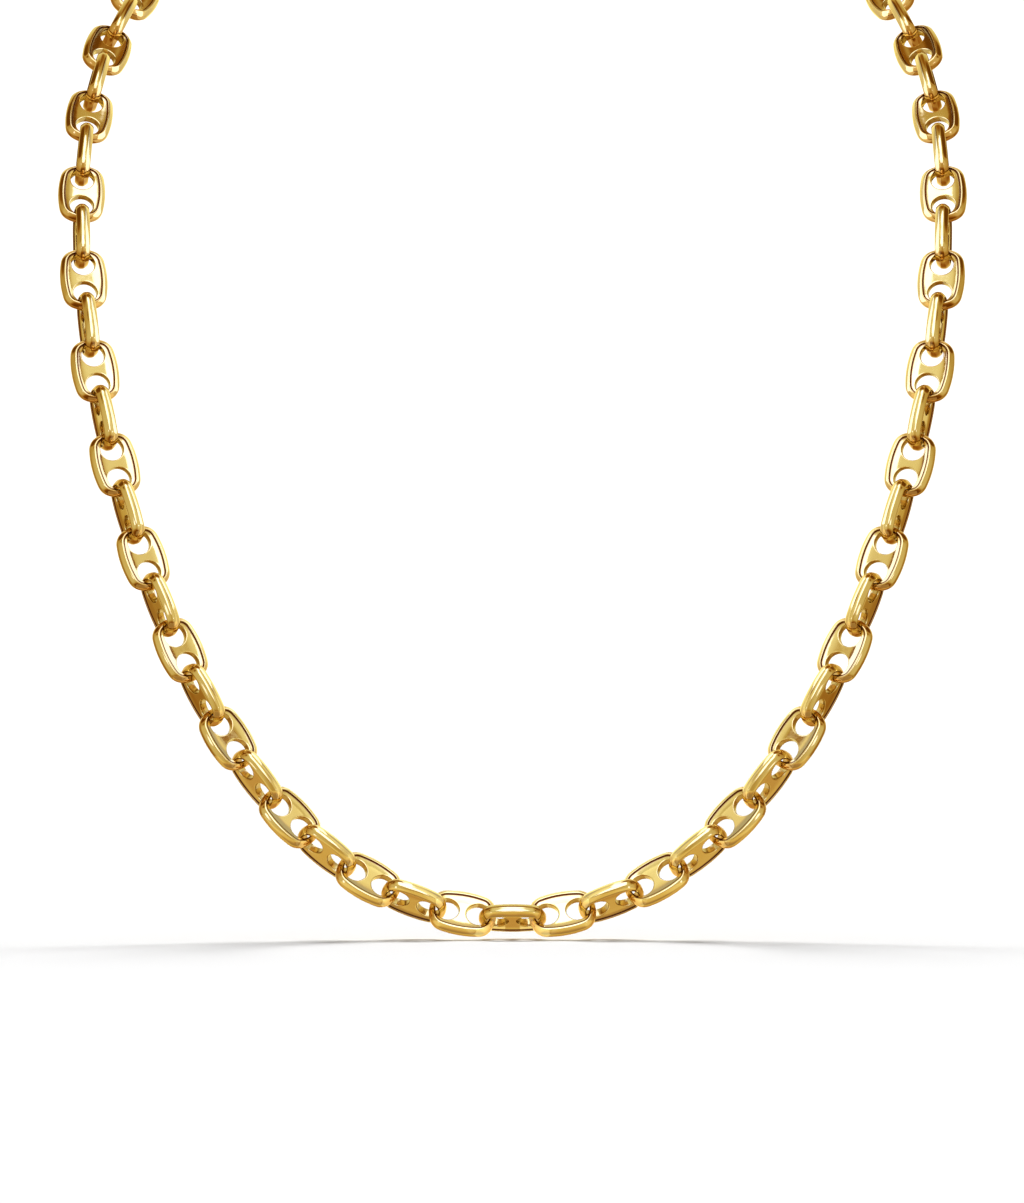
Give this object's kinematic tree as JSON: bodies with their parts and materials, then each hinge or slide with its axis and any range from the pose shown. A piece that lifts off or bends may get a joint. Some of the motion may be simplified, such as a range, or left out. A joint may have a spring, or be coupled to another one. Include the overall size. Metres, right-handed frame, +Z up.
{
  "type": "mariner link chain",
  "caption": "Neck chain of polished oval links, each with a bar across it, worn as an open loop and closed at the nape by a plain barrel clasp.",
  "frame": {"origin": "the nape: the back of the loop, where the clasp closes it and the chain hangs", "axes": "+X to the right as seen from the front, +Y from the front of the loop to the nape, +Z up"},
  "size_m": [0.1346, 0.1267, 0.1565],
  "materials": {
    "gold": "mirror-polished yellow gold"
  },
  "bodies": {
    "root": {"links_left": "gold", "links_right": "gold", "clasp": "gold"}
  },
  "joints": []
}
